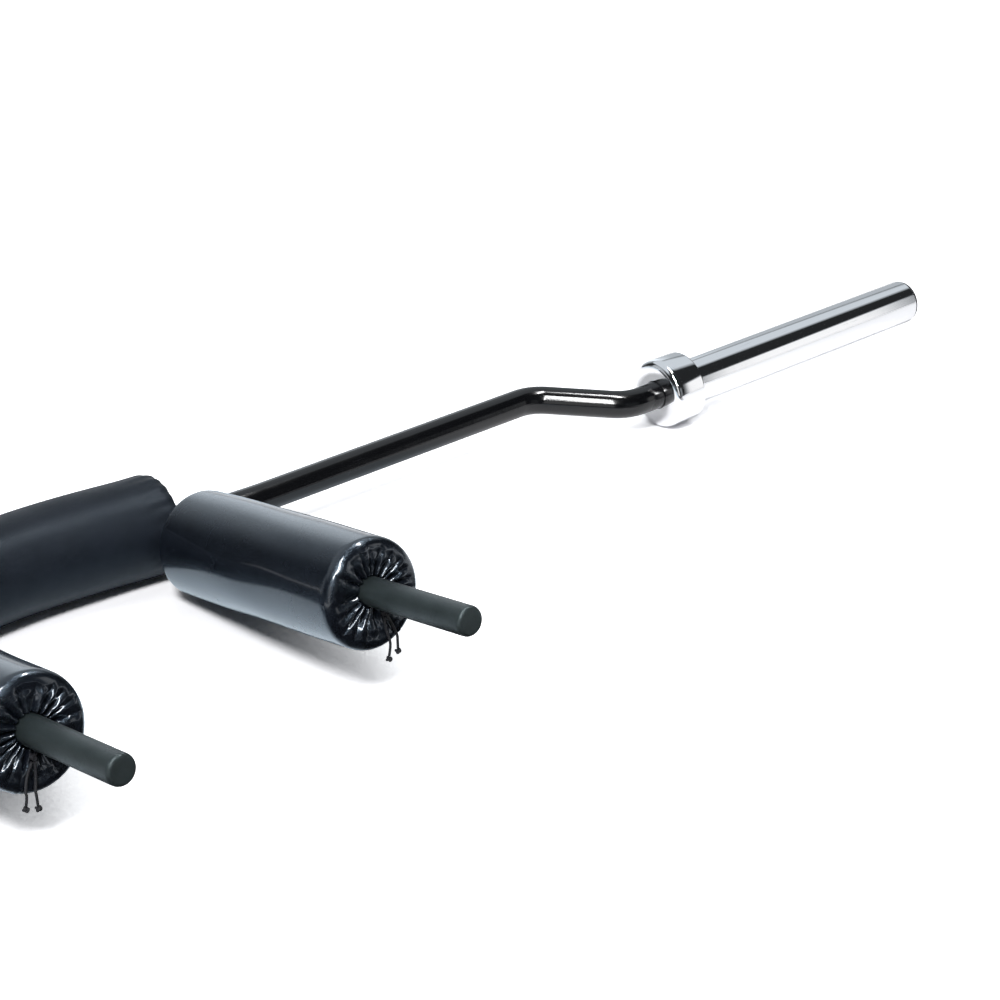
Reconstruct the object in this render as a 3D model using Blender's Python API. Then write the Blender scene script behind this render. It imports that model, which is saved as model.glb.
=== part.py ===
"""Safety squat bar: a cambered bar with a padded yoke, two forward handles and a pair of spinning sleeves.

Metres, +Z up. +X runs along the bar, the handles point to -Y, and the bar stands on z = 0 as it lies on a
floor: on its neck pad and on its two collars. The origin is under the middle of the whole bar.
"""

from math import asin, atan2, cos, pi, radians, sin, sqrt, tan

import bmesh
import bpy
from mathutils import Vector

# Gaps between neighbouring pieces
FIT_GAP = 0.0003
CORD_GAP = 0.0005

# Shaft: a solid round bar, bent in one plane. The corners of its bends are where its straight runs would meet
SHAFT_RADIUS = 0.015
NECK_BOW = 0.0275
NECK_BOW_REACH = 0.297
CAMBER_START = 0.6432
CAMBER_RUN = 0.0763
CAMBER_OFFSET = 0.0744
CAMBER_BEND_RADIUS = 0.045
STRAIGHT_BEFORE_COLLAR = 0.02254

# Sleeves that carry the plates, measured outwards from the collar's inner face
COLLAR_RADIUS = 0.038
COLLAR_WIDTH = 0.041
COLLAR_LIP = 0.003
COLLAR_CHAMFER = 0.0018
SLEEVE_RADIUS = 0.025
SHAFT_TO_BORE = 0.0025
SLEEVE_LENGTH = 0.3605
SLEEVE_CHAMFER = 0.0015
SPINDLE_STEP = 0.0025
SHOULDER_DEPTH = 0.006
WASHER_THICKNESS = 0.002
BUSH_LENGTH = 0.045
SPINDLE_END_MARGIN = 0.028
RETAINER_THICKNESS = 0.003
BOLT_RADIUS = 0.006
BOLT_DEPTH = 0.028
BOLT_TIP_CHAMFER = 0.001
BOLT_HEAD_ACROSS_FLATS = 0.019
BOLT_HEAD_HEIGHT = 0.0075
CAP_FLANGE = 0.003
CAP_RADIUS = 0.0238
CAP_PLUG_DEPTH = 0.010
CAP_WALL = 0.002

# Arms and handles, measured along each arm from the shaft's centre line
ARM_SPACING = 0.348
ARM_TILT = radians(11.5)
ARM_RADIUS = 0.0111
ARM_WALL = 0.002
HANDLE_LENGTH = 0.137
GRIP_WALL = 0.0026
GRIP_END_WALL = 0.004
GRIP_END_ROUND = 0.005
WELD_RADIUS = 0.0016

# Pads. The neck pad is squashed on the floor, so the shaft lies below its middle. The shoulder pads hang a
# little below their arms
NECK_PAD_RADIUS = 0.0506
NECK_PAD_SQUASH = 0.0081
NECK_PAD_TO_ARM = 0.0029
NECK_MOUTH_GAP = 0.0045
SHOULDER_PAD_RADIUS = 0.0523
SHOULDER_PAD_LENGTH = 0.2732
SHOULDER_PAD_SAG = 0.0028
PAD_GAP = 0.0147
PAD_RIM = 0.012
COVER_WALL = 0.0015
HEM_SPACE = 0.0045

# Cords in the covers' hems, and the two tails of each front drawcord. They come out towards the bar's end,
# swung round the handle from straight below it. One hangs a little lower than the other
HEM_CORD_RADIUS = 0.0016
TAIL_RADIUS = 0.00125
KNOT_RADIUS = 0.004
KNOT_TO_GRIP = 0.0028
TAIL_SWING = radians(15)
TAIL_START_SPREAD = 0.0014
TAIL_SPREAD = 0.0045
TAIL_FLARE = 0.0009
TAIL_SAG = 0.0009
LONG_TAIL_HANG = 0.0155
SHORT_TAIL_HANG = 0.0145
TAIL_TURN_DOWN = 0.0058
TAIL_OFF_FACE = 0.0008
TAIL_KNOT_RADIUS = 0.0028
TAIL_POINT_SPACING = 0.006

# Smoothness of the round pieces
SHAFT_SIDES = 20
SLEEVE_SIDES = 28
PAD_SIDES = 24
TUBE_SIDES = 20
HEM_SIDES = 16
CORD_SIDES = 6
POINTS_PER_FLAT = 3
RIM_STEPS = 2
BEND_STEPS = 5
NECK_STEPS = 8
SHARP_ANGLE = radians(35)
SLOPE_STEP = 0.001

# Sizes and places that follow from the ones above. The neck pad and the collars all touch the floor
SHAFT_HEIGHT = NECK_PAD_RADIUS - NECK_PAD_SQUASH
BEND_PLANE_TILT = asin((SHAFT_HEIGHT - COLLAR_RADIUS) / CAMBER_OFFSET)
CAMBER_ANGLE = atan2(CAMBER_OFFSET, CAMBER_RUN)
BEND_REACH = CAMBER_BEND_RADIUS * tan(CAMBER_ANGLE / 2)
COLLAR_INNER_X = CAMBER_START + CAMBER_RUN + BEND_REACH + STRAIGHT_BEFORE_COLLAR
SLEEVE_BORE_RADIUS = SHAFT_RADIUS + SHAFT_TO_BORE
SPINDLE_RADIUS = SHAFT_RADIUS - SPINDLE_STEP
SPINDLE_END = COLLAR_WIDTH + SLEEVE_LENGTH - SPINDLE_END_MARGIN
GRIP_RADIUS = ARM_RADIUS + GRIP_WALL
SHOULDER_PAD_START = NECK_PAD_RADIUS + PAD_GAP
SHOULDER_PAD_END = SHOULDER_PAD_START + SHOULDER_PAD_LENGTH
HANDLE_TIP = SHOULDER_PAD_END + HANDLE_LENGTH
NECK_PAD_HALF_LENGTH = ARM_SPACING / 2 - ARM_RADIUS - NECK_PAD_TO_ARM
NECK_MOUTH_RADIUS = SHAFT_RADIUS + NECK_MOUTH_GAP
KNOT_DROP = GRIP_RADIUS + KNOT_RADIUS + KNOT_TO_GRIP
REAR_REACH = NECK_BOW * cos(BEND_PLANE_TILT) + NECK_PAD_RADIUS


def neck_bow(x):
    """How far the shaft stands back from its straight line at x, within the plane of its bends."""
    if abs(x) > NECK_BOW_REACH:
        return 0.0
    return NECK_BOW * cos(pi * x / (2 * NECK_BOW_REACH)) ** 2


WELD_BACK = neck_bow(ARM_SPACING / 2) * cos(BEND_PLANE_TILT)
TIP_BACK_FROM_END = GRIP_RADIUS * sin(ARM_TILT) - GRIP_END_ROUND * (cos(ARM_TILT) + sin(ARM_TILT) - 1)
FRONT_REACH = HANDLE_TIP * cos(ARM_TILT) - WELD_BACK + TIP_BACK_FROM_END
BAR_LINE_Y = (FRONT_REACH - REAR_REACH) / 2


def in_bend_plane(x, forward):
    """A point of the shaft's bend plane, which dips towards the front."""
    drop = forward * sin(BEND_PLANE_TILT)
    return Vector((x, BAR_LINE_Y - forward * cos(BEND_PLANE_TILT), SHAFT_HEIGHT - drop))


# Materials

def material(name, colour, roughness, metallic=0.0):
    finish = bpy.data.materials.new(name)
    finish.use_nodes = True
    shader = finish.node_tree.nodes["Principled BSDF"]
    shader.inputs["Base Color"].default_value = (*colour, 1.0)
    shader.inputs["Roughness"].default_value = roughness
    shader.inputs["Metallic"].default_value = metallic
    finish.diffuse_color = (*colour, 1.0)
    return finish


# Shapes

def ring(centre, across, up, radius, sides):
    """Points of a circle, or of a polygon, about centre."""
    turns = [2 * pi * i / sides for i in range(sides)]
    return [centre + radius * (cos(turn) * across + sin(turn) * up) for turn in turns]


def skin(name, rings, finish, parent=None, closed=False):
    """Joins rings of points one after another into a body. An open run of rings is capped at both ends."""
    mesh = bpy.data.meshes.new(name)
    shape = bmesh.new()
    loops = [[shape.verts.new(point) for point in points] for points in rings]
    pairs = list(zip(loops, loops[1:]))
    if closed:
        pairs.append((loops[-1], loops[0]))
    else:
        shape.faces.new(loops[0])
        shape.faces.new(loops[-1])
    for near, far in pairs:
        for i in range(len(near)):
            j = (i + 1) % len(near)
            shape.faces.new((near[i], near[j], far[j], far[i]))
    bmesh.ops.recalc_face_normals(shape, faces=shape.faces)
    shape.to_mesh(mesh)
    shape.free()
    mesh.shade_smooth()
    mesh.set_sharp_from_angle(angle=SHARP_ANGLE)
    mesh.materials.append(finish)
    return place(name, mesh, parent)


def place(name, data, parent):
    piece = bpy.data.objects.new(name, data)
    bpy.context.scene.collection.objects.link(piece)
    piece.parent = parent
    return piece


def turned(name, outline, finish, parent, sides, closed=False):
    """A piece turned about its local X axis, from (x, radius) points."""
    across, up = Vector((0, 1, 0)), Vector((0, 0, 1))
    rings = [ring(Vector((x, 0, 0)), across, up, radius, sides) for x, radius in outline]
    return skin(name, rings, finish, parent, closed)


def hollow(name, inner_radius, outer_radius, start, end, finish, parent, sides, chamfer=0.0):
    """A plain tube or washer on the local X axis, with its outer edges chamfered."""
    outline = [(start, inner_radius), (start, outer_radius - chamfer)]
    if chamfer:
        outline += [(start + chamfer, outer_radius), (end - chamfer, outer_radius)]
    outline += [(end, outer_radius - chamfer), (end, inner_radius)]
    return turned(name, outline, finish, parent, sides, closed=True)


def axis_empty(name, location, rotation):
    """Carries the pieces of one sleeve or one arm, with its X axis along their own axis."""
    empty = bpy.data.objects.new(name, None)
    bpy.context.scene.collection.objects.link(empty)
    empty.location = location
    empty.rotation_euler = rotation
    return empty


# Shaft

def bend_points(corner, before, after):
    """Points round a bend of the shaft at a corner, between two unit directions."""
    turn = before.angle(after)
    centre_side = (after - before).normalized()
    centre = corner + centre_side * (CAMBER_BEND_RADIUS / cos(turn / 2))
    outwards = -centre_side
    along = (before + after).normalized()
    swing = [turn * (i / BEND_STEPS - 0.5) for i in range(BEND_STEPS + 1)]
    return [centre + CAMBER_BEND_RADIUS * (cos(a) * outwards + sin(a) * along) for a in swing]


def neck_stations():
    """Places along the bowed part of the shaft, shared by the pieces that follow it."""
    return [NECK_BOW_REACH * i / NECK_STEPS for i in range(-NECK_STEPS, NECK_STEPS + 1)]


def shaft_line():
    """Centre line of the right half of the shaft, from the middle to the spindle's shoulder."""
    points = [in_bend_plane(x, -neck_bow(x)) for x in neck_stations() if x >= 0]
    first = in_bend_plane(CAMBER_START, 0.0)
    second = in_bend_plane(CAMBER_START + CAMBER_RUN, CAMBER_OFFSET)
    along = Vector((1, 0, 0))
    slant = (second - first).normalized()
    points += bend_points(first, along, slant)
    points += bend_points(second, slant, along)
    points.append(in_bend_plane(COLLAR_INNER_X + SHOULDER_DEPTH, CAMBER_OFFSET))
    return points


def shaft_rings(extra_radius=0.0, spindles=True):
    """Rings along the whole shaft, from the left spindle's end to the right one's."""
    half = shaft_line()
    line = [Vector((-point.x, point.y, point.z)) for point in reversed(half[1:])] + half
    normal = Vector((0, -sin(BEND_PLANE_TILT), cos(BEND_PLANE_TILT)))
    rings = []
    for i, point in enumerate(line):
        along = (line[min(i + 1, len(line) - 1)] - line[max(i - 1, 0)]).normalized()
        across = normal.cross(along)
        rings.append(ring(point, across, normal, SHAFT_RADIUS + extra_radius, SHAFT_SIDES))
    if not spindles:
        return rings
    across = Vector((0, cos(BEND_PLANE_TILT), sin(BEND_PLANE_TILT)))
    shoulder = COLLAR_INNER_X + SHOULDER_DEPTH
    end = COLLAR_INNER_X + SPINDLE_END
    bottom = end - BOLT_DEPTH
    hole = BOLT_RADIUS + FIT_GAP
    steps = [(shoulder, SPINDLE_RADIUS), (end, SPINDLE_RADIUS), (end, hole), (bottom, hole)]
    right = [ring(in_bend_plane(x, CAMBER_OFFSET), across, normal, r, SHAFT_SIDES) for x, r in steps]
    left = [ring(in_bend_plane(-x, CAMBER_OFFSET), across, normal, r, SHAFT_SIDES) for x, r in steps]
    return list(reversed(left)) + rings + right


def make_shaft(finish):
    skin("shaft", shaft_rings(), finish)


# Sleeves

def make_sleeve(side, parent, finishes):
    chrome, bronze, steel, plastic = finishes
    tube_start = COLLAR_LIP + FIT_GAP
    tube_end = COLLAR_WIDTH + SLEEVE_LENGTH
    seat = SLEEVE_RADIUS + FIT_GAP
    lip_bore = SHAFT_RADIUS + 2 * FIT_GAP
    edge = COLLAR_RADIUS - COLLAR_CHAMFER
    collar = [
        (0, lip_bore),
        (0, edge),
        (COLLAR_CHAMFER, COLLAR_RADIUS),
        (COLLAR_WIDTH - COLLAR_CHAMFER, COLLAR_RADIUS),
        (COLLAR_WIDTH, edge),
        (COLLAR_WIDTH, seat),
        (COLLAR_LIP, seat),
        (COLLAR_LIP, lip_bore),
    ]
    turned(f"{side}_collar", collar, chrome, parent, SLEEVE_SIDES, closed=True)
    hollow(
        f"{side}_sleeve_tube", SLEEVE_BORE_RADIUS, SLEEVE_RADIUS, tube_start, tube_end,
        chrome, parent, SLEEVE_SIDES, SLEEVE_CHAMFER,
    )

    turning_bore = SPINDLE_RADIUS + FIT_GAP
    pressed = SLEEVE_BORE_RADIUS - FIT_GAP
    washer_start = SHOULDER_DEPTH + FIT_GAP
    washer_end = washer_start + WASHER_THICKNESS
    retainer_start = SPINDLE_END + FIT_GAP
    retainer_end = retainer_start + RETAINER_THICKNESS
    inner_start = washer_end + FIT_GAP
    outer_end = SPINDLE_END - FIT_GAP
    hollow(
        f"{side}_thrust_washer", turning_bore, pressed, washer_start, washer_end,
        steel, parent, TUBE_SIDES,
    )
    hollow(
        f"{side}_inner_bush", turning_bore, pressed, inner_start, inner_start + BUSH_LENGTH,
        bronze, parent, TUBE_SIDES,
    )
    hollow(
        f"{side}_outer_bush", turning_bore, pressed, outer_end - BUSH_LENGTH, outer_end,
        bronze, parent, TUBE_SIDES,
    )
    hollow(
        f"{side}_retaining_washer", BOLT_RADIUS + FIT_GAP, pressed - FIT_GAP, retainer_start,
        retainer_end, steel, parent, TUBE_SIDES,
    )

    head_start = retainer_end + FIT_GAP
    head_end = head_start + BOLT_HEAD_HEIGHT
    corner = BOLT_HEAD_ACROSS_FLATS / sqrt(3)
    bolt_tip = SPINDLE_END - BOLT_DEPTH + FIT_GAP
    across, up = Vector((0, 1, 0)), Vector((0, 0, 1))
    shank = [
        (bolt_tip, BOLT_RADIUS - BOLT_TIP_CHAMFER),
        (bolt_tip + BOLT_TIP_CHAMFER, BOLT_RADIUS),
        (head_start, BOLT_RADIUS),
    ]
    bolt = [ring(Vector((x, 0, 0)), across, up, radius, 6 * POINTS_PER_FLAT) for x, radius in shank]
    for x in (head_start, head_end):
        bolt.append(hexagon(Vector((x, 0, 0)), across, up, corner, POINTS_PER_FLAT))
    skin(f"{side}_retaining_bolt", bolt, steel, parent)

    cap_start = tube_end - CAP_PLUG_DEPTH
    cap_face = tube_end + FIT_GAP
    cap = [
        (cap_start, pressed - CAP_WALL),
        (cap_start, pressed),
        (cap_face, pressed),
        (cap_face, CAP_RADIUS),
        (cap_face + CAP_FLANGE / 2, CAP_RADIUS),
        (cap_face + CAP_FLANGE, CAP_RADIUS - CAP_FLANGE / 2),
    ]
    inside = [(cap_face, pressed - CAP_WALL)]
    turned(f"{side}_end_cap", inside + cap, plastic, parent, SLEEVE_SIDES)


def hexagon(centre, across, up, corner_radius, points_per_side):
    """A hexagon with extra points along its sides, so that it joins a round ring of as many points."""
    corners = ring(centre, across, up, corner_radius, 6)
    points = []
    for i, corner in enumerate(corners):
        following = corners[(i + 1) % 6]
        points += [corner.lerp(following, j / points_per_side) for j in range(points_per_side)]
    return points


# Pads

def rounded_outline(start, end, radius, rim, between=()):
    """(x, radius) points over the outside of a pad with rounded rims."""
    turns = [pi / 2 * i / RIM_STEPS for i in range(RIM_STEPS + 1)]
    near = [(start + rim * (1 - sin(turn)), radius - rim * (1 - cos(turn))) for turn in reversed(turns)]
    far = [(end - rim * (1 - sin(turn)), radius - rim * (1 - cos(turn))) for turn in turns]
    return near + [(x, radius) for x in between] + far


def pad_rings(outline, centre_at):
    across, up = Vector((0, 1, 0)), Vector((0, 0, 1))
    return [ring(centre_at(x), across, up, radius, PAD_SIDES) for x, radius in outline]


def make_cover(name, start, end, radius, mouths, centres, between, finish, parent):
    """A sewn cover: a thin round shell, open at both ends where the bar or the arm goes through."""
    pad_centre, bore_centre = centres
    outside = rounded_outline(start, end, radius, PAD_RIM, between)
    inside = rounded_outline(
        start + COVER_WALL, end - COVER_WALL, radius - COVER_WALL, PAD_RIM - COVER_WALL, between
    )
    rings = pad_rings([(start, mouths[0])], bore_centre)
    rings += pad_rings(outside, pad_centre)
    rings += pad_rings([(end, mouths[1]), (end - COVER_WALL, mouths[1])], bore_centre)
    rings += pad_rings(reversed(inside), pad_centre)
    rings += pad_rings([(start + COVER_WALL, mouths[0])], bore_centre)
    skin(name, rings, finish, parent, closed=True)


def make_foam(name, start, end, radius, bore, centres, between, finish, parent):
    """The foam roll inside a cover, shorter than it by the space for the hem's cord at each end."""
    pad_centre, bore_centre = centres
    inset = COVER_WALL + FIT_GAP
    first, last = start + COVER_WALL + HEM_SPACE, end - COVER_WALL - HEM_SPACE
    outline = rounded_outline(first, last, radius - inset, PAD_RIM - inset, between)
    rings = pad_rings(outline, pad_centre)
    rings += pad_rings([(x, bore) for x in (last, *reversed(between), first)], bore_centre)
    skin(name, rings, finish, parent, closed=True)


def make_hem_cord(name, x, radius, centre, finish, parent):
    """A cord closed to a ring, in the hem that it draws together."""
    turns = [2 * pi * i / CORD_SIDES for i in range(CORD_SIDES)]
    outline = [(x + HEM_CORD_RADIUS * cos(turn), radius + HEM_CORD_RADIUS * sin(turn)) for turn in turns]
    across, up = Vector((0, 1, 0)), Vector((0, 0, 1))
    rings = [ring(centre + Vector((along, 0, 0)), across, up, r, HEM_SIDES) for along, r in outline]
    skin(name, rings, finish, parent, closed=True)


def hem_cord_inset():
    """From the outside of a cover's end to the middle of its hem's cord."""
    return COVER_WALL + HEM_SPACE / 2


def make_neck_pad(vinyl, foam, cord):
    half = NECK_PAD_HALF_LENGTH
    between = [x for x in neck_stations() if abs(x) < half - PAD_RIM]

    def shaft_centre(x):
        return in_bend_plane(x, -neck_bow(x))

    def pad_centre(x):
        return Vector((x, shaft_centre(x).y, NECK_PAD_RADIUS))

    centres = (pad_centre, shaft_centre)
    mouths = (NECK_MOUTH_RADIUS, NECK_MOUTH_RADIUS)
    bore = SHAFT_RADIUS + 2 * FIT_GAP
    make_cover("neck_pad_cover", -half, half, NECK_PAD_RADIUS, mouths, centres, between, vinyl, None)
    make_foam("neck_pad_foam", -half, half, NECK_PAD_RADIUS, bore, centres, between, foam, None)
    cord_radius = NECK_MOUTH_RADIUS + HEM_CORD_RADIUS
    for side, way in (("left", -1), ("right", 1)):
        x = way * (half - hem_cord_inset())
        centre = shaft_centre(x)
        centre.x = 0
        make_hem_cord(f"neck_pad_{side}_elastic", x, cord_radius, centre, cord, None)


# Arms, handles and shoulder pads

def arm_root(way):
    """Where an arm's axis meets the shaft's, and the shaft's direction there."""
    x = way * ARM_SPACING / 2
    before = in_bend_plane(x - SLOPE_STEP, -neck_bow(x - SLOPE_STEP))
    after = in_bend_plane(x + SLOPE_STEP, -neck_bow(x + SLOPE_STEP))
    return in_bend_plane(x, -neck_bow(x)), (after - before).normalized()


def make_arm(side, way, parent, cutter, finish):
    """A tube coped to the shaft and welded to it."""
    end = HANDLE_TIP - GRIP_END_WALL - FIT_GAP
    bore = ARM_RADIUS - ARM_WALL
    arm = hollow(f"{side}_arm_tube", bore, ARM_RADIUS, 0.0, end, finish, parent, TUBE_SIDES)
    cope = arm.modifiers.new("cope", "BOOLEAN")
    cope.operation = "DIFFERENCE"
    cope.object = cutter
    make_weld(f"{side}_arm_weld", way, parent, finish)


def make_weld(name, way, parent, finish):
    """The bead round the joint of an arm and the shaft, lying against both."""
    shaft_world = arm_root(way)[1]
    shaft_way = Vector((
        shaft_world.z * sin(ARM_TILT) - shaft_world.y * cos(ARM_TILT),
        shaft_world.x,
        shaft_world.z * cos(ARM_TILT) + shaft_world.y * sin(ARM_TILT),
    ))
    lift = WELD_RADIUS + CORD_GAP
    along_arm = Vector((1, 0, 0))
    arm_part = along_arm - shaft_way * along_arm.dot(shaft_way)
    places = []
    for i in range(HEM_SIDES):
        turn = 2 * pi * i / HEM_SIDES
        outward = Vector((0, cos(turn), sin(turn)))
        radial = outward * (ARM_RADIUS + lift)
        radial_part = radial - shaft_way * radial.dot(shaft_way)
        a = arm_part.length_squared
        b = radial_part.dot(arm_part)
        c = radial_part.length_squared - (SHAFT_RADIUS + lift) ** 2
        distance = (-b + sqrt(b * b - a * c)) / a
        places.append((radial + along_arm * distance, outward))
    rings = [ring(centre, outward, along_arm, WELD_RADIUS, CORD_SIDES) for centre, outward in places]
    skin(name, rings, finish, parent, closed=True)


def make_grip(side, parent, finish):
    """A moulded sleeve with a closed end, pushed over the arm up to the shoulder pad's foam."""
    start = SHOULDER_PAD_END - COVER_WALL - HEM_SPACE + FIT_GAP
    bore = ARM_RADIUS + FIT_GAP
    bore_end = HANDLE_TIP - GRIP_END_WALL
    turns = [pi / 2 * i / RIM_STEPS for i in range(RIM_STEPS + 1)]
    end = [
        (HANDLE_TIP - GRIP_END_ROUND * (1 - sin(turn)), GRIP_RADIUS - GRIP_END_ROUND * (1 - cos(turn)))
        for turn in turns
    ]
    outline = [(bore_end, bore), (start, bore), (start, GRIP_RADIUS)] + end
    turned(f"{side}_grip", outline, finish, parent, TUBE_SIDES)


def make_shoulder_pad(side, parent, vinyl, foam, cord):
    start, end = SHOULDER_PAD_START, SHOULDER_PAD_END

    def pad_centre(x):
        return Vector((x, 0, -SHOULDER_PAD_SAG))

    def arm_centre(x):
        return Vector((x, 0, 0))

    centres = (pad_centre, arm_centre)
    rear_mouth = ARM_RADIUS + 2 * CORD_GAP
    front_mouth = GRIP_RADIUS + CORD_GAP
    mouths = (rear_mouth, front_mouth)
    radius = SHOULDER_PAD_RADIUS
    bore = ARM_RADIUS + FIT_GAP
    make_cover(f"{side}_shoulder_cover", start, end, radius, mouths, centres, (), vinyl, parent)
    make_foam(f"{side}_shoulder_foam", start, end, radius, bore, centres, (), foam, parent)
    rear_radius = rear_mouth + HEM_CORD_RADIUS
    front_radius = front_mouth + HEM_CORD_RADIUS
    nowhere = Vector((0, 0, 0))
    make_hem_cord(f"{side}_shoulder_elastic", start + hem_cord_inset(), rear_radius, nowhere, cord, parent)
    make_hem_cord(f"{side}_drawcord", end - hem_cord_inset(), front_radius, nowhere, cord, parent)


# The drawcord's knot and its two tails, in front of each shoulder pad

def smooth_route(points, spacing):
    """Points along a smooth curve through the given ones."""
    padded = [2 * points[0] - points[1]] + points + [2 * points[-1] - points[-2]]
    route = []
    for i in range(1, len(padded) - 2):
        before, here, there, after = padded[i - 1 : i + 3]
        count = max(1, round((there - here).length / spacing))
        for step in range(count):
            t = step / count
            bend = 2 * before - 5 * here + 4 * there - after
            twist = 3 * here - before - 3 * there + after
            route.append(here + t / 2 * ((there - before) + t * (bend + t * twist)))
    return route + [points[-1]]


def face_directions(way):
    """Directions at a pad's front face, swung round the handle: away from it, out of the face, and sideways."""
    down = Vector((0, -sin(ARM_TILT), -cos(ARM_TILT)))
    outwards = Vector((way, 0, 0))
    away = down * cos(TAIL_SWING) + outwards * sin(TAIL_SWING)
    side = outwards * cos(TAIL_SWING) - down * sin(TAIL_SWING)
    return away, Vector((0, -cos(ARM_TILT), sin(ARM_TILT))), side


def tail_route(way, turn, hang):
    """A tail's points from the middle of the front face: along the face, over the rim, and down."""
    away, ahead, side = face_directions(way)
    face = TAIL_RADIUS + 2 * CORD_GAP
    knot_front = KNOT_RADIUS + CORD_GAP
    start = away * (KNOT_DROP + KNOT_RADIUS + CORD_GAP) + ahead * knot_front + side * turn * TAIL_START_SPREAD
    pad_reach = SHOULDER_PAD_RADIUS + SHOULDER_PAD_SAG * cos(TAIL_SWING)
    rim = away * (pad_reach - PAD_RIM / 2) + ahead * face + side * turn * TAIL_SPREAD
    middle = (start + rim) / 2 - ahead * TAIL_SAG + side * turn * TAIL_FLARE
    below = rim + Vector((0, 0, -TAIL_TURN_DOWN)) + ahead * TAIL_OFF_FACE
    end = rim + Vector((0, 0, -hang)) + side * turn * TAIL_FLARE
    return [start, middle, rim, below, end]


def make_tails(side_name, way, front, cord):
    """front is the middle of the shoulder pad's front face, in world coordinates."""
    away, ahead, _ = face_directions(way)
    knot_place = front + away * KNOT_DROP + ahead * (KNOT_RADIUS + CORD_GAP)
    make_knot(f"{side_name}_drawcord_knot", knot_place, KNOT_RADIUS, cord)
    for letter, turn, hang in (("a", -1, LONG_TAIL_HANG), ("b", 1, SHORT_TAIL_HANG)):
        route = [front + point for point in tail_route(way, turn, hang)]
        points = smooth_route(route, TAIL_POINT_SPACING)
        name = f"{side_name}_tail_{letter}"
        make_cord(name, points, TAIL_RADIUS, cord)
        last = (points[-1] - points[-2]).normalized()
        knot = points[-1] + last * (TAIL_KNOT_RADIUS + CORD_GAP)
        make_knot(f"{name}_knot", knot, TAIL_KNOT_RADIUS, cord)


def make_knot(name, location, radius, finish):
    mesh = bpy.data.meshes.new(name)
    shape = bmesh.new()
    bmesh.ops.create_uvsphere(shape, u_segments=8, v_segments=5, radius=radius)
    shape.to_mesh(mesh)
    shape.free()
    mesh.shade_smooth()
    mesh.materials.append(finish)
    place(name, mesh, None).location = location


def make_cord(name, points, radius, finish):
    curve = bpy.data.curves.new(name, "CURVE")
    curve.dimensions = "3D"
    curve.bevel_depth = radius
    curve.bevel_resolution = 2
    curve.use_fill_caps = True
    spline = curve.splines.new("POLY")
    spline.points.add(len(points) - 1)
    for spot, point in zip(spline.points, points):
        spot.co = (*point, 1.0)
    curve.materials.append(finish)
    place(name, curve, None)


def main():
    for old in list(bpy.data.objects):
        bpy.data.objects.remove(old, do_unlink=True)

    black_paint = material("black_paint", (0.012, 0.012, 0.014), 0.16)
    chrome = material("chrome", (0.86, 0.87, 0.90), 0.08, 1.0)
    steel = material("plain_steel", (0.52, 0.53, 0.55), 0.35, 1.0)
    bronze = material("bearing_bronze", (0.58, 0.40, 0.20), 0.38, 1.0)
    plastic = material("black_plastic", (0.02, 0.02, 0.022), 0.45)
    rubber = material("grip_rubber", (0.045, 0.052, 0.052), 0.62)
    neck_vinyl = material("neck_vinyl", (0.028, 0.031, 0.042), 0.55)
    shoulder_vinyl = material("shoulder_vinyl", (0.014, 0.015, 0.019), 0.34)
    foam = material("foam", (0.10, 0.10, 0.11), 0.95)
    cord = material("cord", (0.02, 0.02, 0.022), 0.75)

    make_shaft(black_paint)
    sleeve_axis = in_bend_plane(COLLAR_INNER_X, CAMBER_OFFSET)
    for side, way, turn in (("left", -1, pi), ("right", 1, 0.0)):
        location = Vector((way * sleeve_axis.x, sleeve_axis.y, sleeve_axis.z))
        carrier = axis_empty(f"{side}_sleeve_axis", location, (0, 0, turn))
        make_sleeve(side, carrier, (chrome, bronze, steel, plastic))

    make_neck_pad(neck_vinyl, foam, cord)
    cope_cutter = skin("cope_cutter", shaft_rings(FIT_GAP, spindles=False), steel)
    cope_cutter.hide_render = True
    cope_cutter.display_type = "WIRE"
    ahead = Vector((0, -cos(ARM_TILT), sin(ARM_TILT)))
    for side, way in (("left", -1), ("right", 1)):
        root = arm_root(way)[0]
        carrier = axis_empty(f"{side}_arm_axis", root, (0, -ARM_TILT, -pi / 2))
        make_arm(side, way, carrier, cope_cutter, black_paint)
        make_grip(side, carrier, rubber)
        make_shoulder_pad(side, carrier, shoulder_vinyl, foam, cord)
        make_tails(side, way, root + ahead * SHOULDER_PAD_END, cord)


main()
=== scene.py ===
from math import asin, cos, pi, radians, sin

import bmesh
import bpy
import numpy as np
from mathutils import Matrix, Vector


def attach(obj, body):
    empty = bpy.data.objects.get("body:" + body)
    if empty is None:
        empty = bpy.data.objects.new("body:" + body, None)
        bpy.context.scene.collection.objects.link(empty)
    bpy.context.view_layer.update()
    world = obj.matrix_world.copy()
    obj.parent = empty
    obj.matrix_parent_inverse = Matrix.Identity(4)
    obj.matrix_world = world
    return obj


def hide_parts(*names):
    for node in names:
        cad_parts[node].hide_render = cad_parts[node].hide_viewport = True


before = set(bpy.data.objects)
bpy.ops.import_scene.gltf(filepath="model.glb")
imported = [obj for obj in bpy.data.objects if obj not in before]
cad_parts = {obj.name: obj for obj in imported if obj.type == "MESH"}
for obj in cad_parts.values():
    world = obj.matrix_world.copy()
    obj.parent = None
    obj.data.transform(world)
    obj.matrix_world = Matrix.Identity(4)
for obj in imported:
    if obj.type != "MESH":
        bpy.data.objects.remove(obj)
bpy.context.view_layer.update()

# Sizes in metres, the same as the CAD's
BAR_LINE_Y = 0.189836
SHAFT_HEIGHT = 0.0425
SHAFT_RADIUS = 0.015
NECK_BOW = 0.0275
NECK_BOW_REACH = 0.297
CAMBER_START = 0.6432
CAMBER_RUN = 0.0763
CAMBER_OFFSET = 0.0744
CAMBER_BEND_RADIUS = 0.045
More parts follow.
